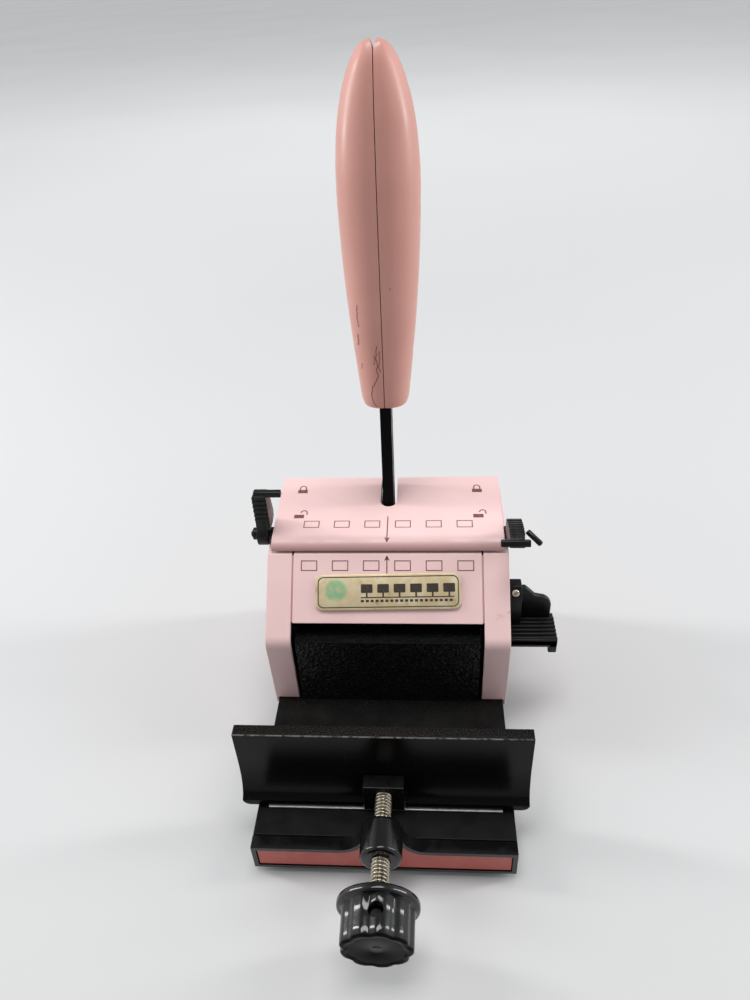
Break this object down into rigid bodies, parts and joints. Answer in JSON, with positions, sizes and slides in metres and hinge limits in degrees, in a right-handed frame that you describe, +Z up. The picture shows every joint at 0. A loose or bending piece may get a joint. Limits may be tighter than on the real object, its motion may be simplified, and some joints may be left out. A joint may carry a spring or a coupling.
{
  "type": "craft punch",
  "caption": "Desktop paper punch and wire-binding crimper: tall hand lever, sloping body with a paper mouth, crinkle-black ram, curved fence set by a knurled screw.",
  "frame": {"origin": "centre of the rubber pad's underside, on the table", "axes": "+Z up; -Y towards the user, where the adjusting knob is; +X to the user's right"},
  "size_m": [0.1259, 0.1918, 0.2513],
  "materials": {
    "pink": "smooth moulded pale pink plastic, satin gloss",
    "grip_pink": "darker pink moulded plastic, worn, with fine hairline cracks",
    "salmon": "matt salmon-red insert",
    "black_enamel": "smooth black enamel, chipped and worn at the fence's top edge",
    "crinkle": "black crinkle paint",
    "black_plastic": "moulded black plastic, semi-gloss",
    "steel": "plain steel",
    "zinc": "zinc plate with a yellow cast",
    "bronze": "plain bearing bronze",
    "rubber": "matt black rubber",
    "plaque": "pale gold plate with a thin dark border"
  },
  "bodies": {
    "frame": {"base_housing": "black_enamel", "bottom_cover": "steel", "base_pad": "rubber", "front_bracket": "black_enamel", "front_inset": "salmon", "side_panel_left": "pink", "side_panel_right": "pink", "side_frame_left": "black_enamel", "side_frame_right": "black_enamel", "shaft_bush_left": "bronze", "shaft_bush_right": "bronze", "front_cover": "pink", "rear_cover": "pink", "label_plaque": "plaque", "upper_housing": "pink", "punch_guide_plate": "steel", "head_die_plate": "steel", "paper_stop": "steel", "punch_spring_left": "steel", "punch_spring_right": "steel", "ram_spring_left": "steel", "ram_spring_right": "steel", "ram_guide_plate": "steel"},
    "handle": {"lever_bar": "black_enamel", "grip_left": "grip_pink", "grip_right": "grip_pink", "grip_screw_lower": "zinc", "grip_screw_upper": "zinc", "handle_shaft": "steel", "punch_cam_left": "steel", "punch_cam_right": "steel"},
    "punch_carriage": {"punch_bar": "steel", "punch_1": "steel", "punch_2": "steel", "punch_3": "steel", "punch_4": "steel", "punch_5": "steel", "punch_6": "steel"},
    "ram_carriage": {"ram": "crinkle", "ram_rod_left": "steel", "ram_rod_right": "steel", "rod_nut_left": "zinc", "rod_nut_right": "zinc"},
    "fence_carriage": {"fence": "black_enamel", "fence_block": "black_enamel", "fence_shoe": "zinc"},
    "screw": {"adjusting_screw": "zinc", "adjusting_knob": "black_plastic", "knob_set_screw": "black_enamel"},
    "left_side_lever": {"left_lever": "black_plastic", "left_lever_pin": "black_enamel"},
    "right_side_lever": {"right_lever": "black_plastic", "right_lever_pin": "black_enamel", "right_lever_rod": "black_enamel"},
    "thumb": {"thumb_lever": "black_plastic", "thumb_lever_pin": "steel", "thumb_lever_screw": "zinc"}
  },
  "joints": [
    {"name": "handle_swing", "type": "hinge", "parent": "frame", "child": "handle", "pos_m": [0, 0.0485, 0.057], "axis": [-1, 0, 0], "range_deg": [0, 62], "stiffness_Nm_per_rad": 0.4, "springref_deg": -17.19},
    {"name": "punch_slide", "type": "slide", "parent": "frame", "child": "punch_carriage", "axis": [0, 0, 1], "range_m": [0, 0.005], "deforming": ["punch_spring_left", "punch_spring_right"]},
    {"name": "ram_slide", "type": "slide", "parent": "frame", "child": "ram_carriage", "axis": [0, -1, 0], "range_m": [0, 0.024], "deforming": ["ram_spring_left", "ram_spring_right"]},
    {"name": "fence_slide", "type": "slide", "parent": "frame", "child": "fence_carriage", "axis": [0, 1, 0], "range_m": [-0.01, 0.013]},
    {"name": "knob_turn", "type": "hinge", "parent": "fence_carriage", "child": "screw", "pos_m": [0, -0.07, 0.025], "axis": [0, 1, 0], "range_deg": [-2840, 3690]},
    {"name": "left_lever_turn", "type": "hinge", "parent": "frame", "child": "left_side_lever", "pos_m": [-0.0514, 0.031, 0.0796], "axis": [1, 0, 0], "range_deg": [0, 60]},
    {"name": "right_lever_turn", "type": "hinge", "parent": "frame", "child": "right_side_lever", "pos_m": [0.0514, 0.031, 0.0796], "axis": [-1, 0, 0], "range_deg": [0, 60]},
    {"name": "thumb_press", "type": "hinge", "parent": "frame", "child": "thumb", "pos_m": [0.0525, 0.023, 0.05], "axis": [1, 0, 0], "range_deg": [0, 20], "stiffness_Nm_per_rad": 0.06, "springref_deg": -14.32}
  ],
  "couplings": [
    {"joint": "punch_slide", "follows": "handle_swing", "m_per_rad": 0.00462},
    {"joint": "ram_slide", "follows": "handle_swing", "m_per_rad": 0.02217},
    {"joint": "knob_turn", "follows": "fence_slide", "rad_per_m": 4947.4}
  ]
}
